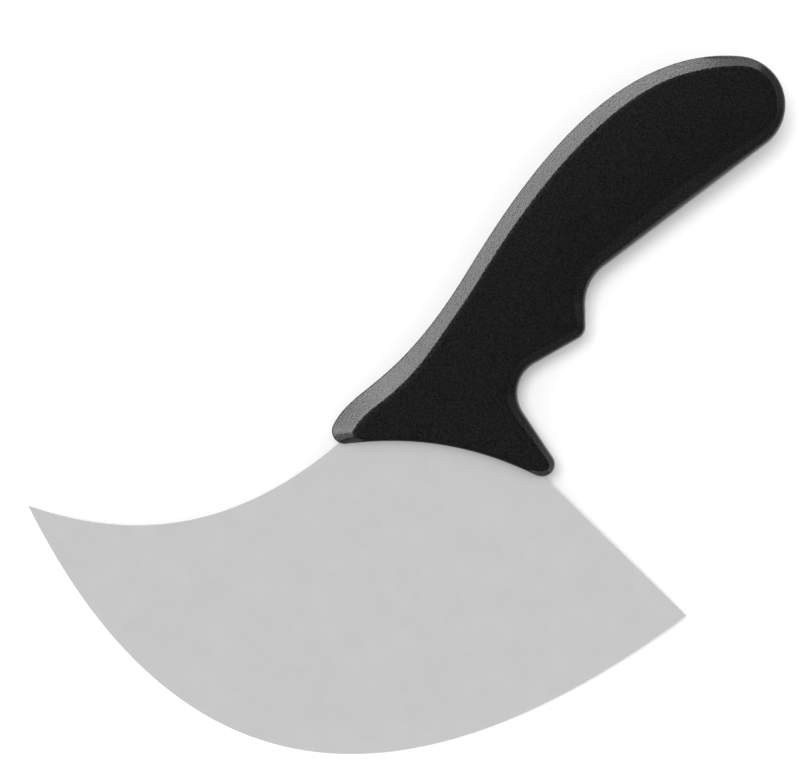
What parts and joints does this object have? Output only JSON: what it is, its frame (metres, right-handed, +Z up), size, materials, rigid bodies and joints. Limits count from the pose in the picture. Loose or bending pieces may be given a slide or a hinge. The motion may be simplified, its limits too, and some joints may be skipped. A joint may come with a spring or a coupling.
{
  "type": "pastry knife",
  "caption": "One-hand pastry knife: a wide half-moon steel blade with a horned tip, its tang moulded into an upswept black plastic handle with a finger notch.",
  "frame": {"origin": "middle of the box that the knife fills, on the surface that it lies on", "axes": "+X along the blade's chord from the tip to the heel, +Y from the cutting edge towards the handle, +Z up; the knife lies as it rests, on its edge and the front of its handle, so the blade's plane is turned 4.9 degrees about X"},
  "size_m": [0.1838, 0.2032, 0.0271],
  "materials": {
    "blade_steel": "fine satin, evenly ground, a little cloudy",
    "handle_plastic": "matte, fine moulded grain"
  },
  "bodies": {
    "root": {"blade": "blade_steel", "handle": "handle_plastic"}
  },
  "joints": []
}
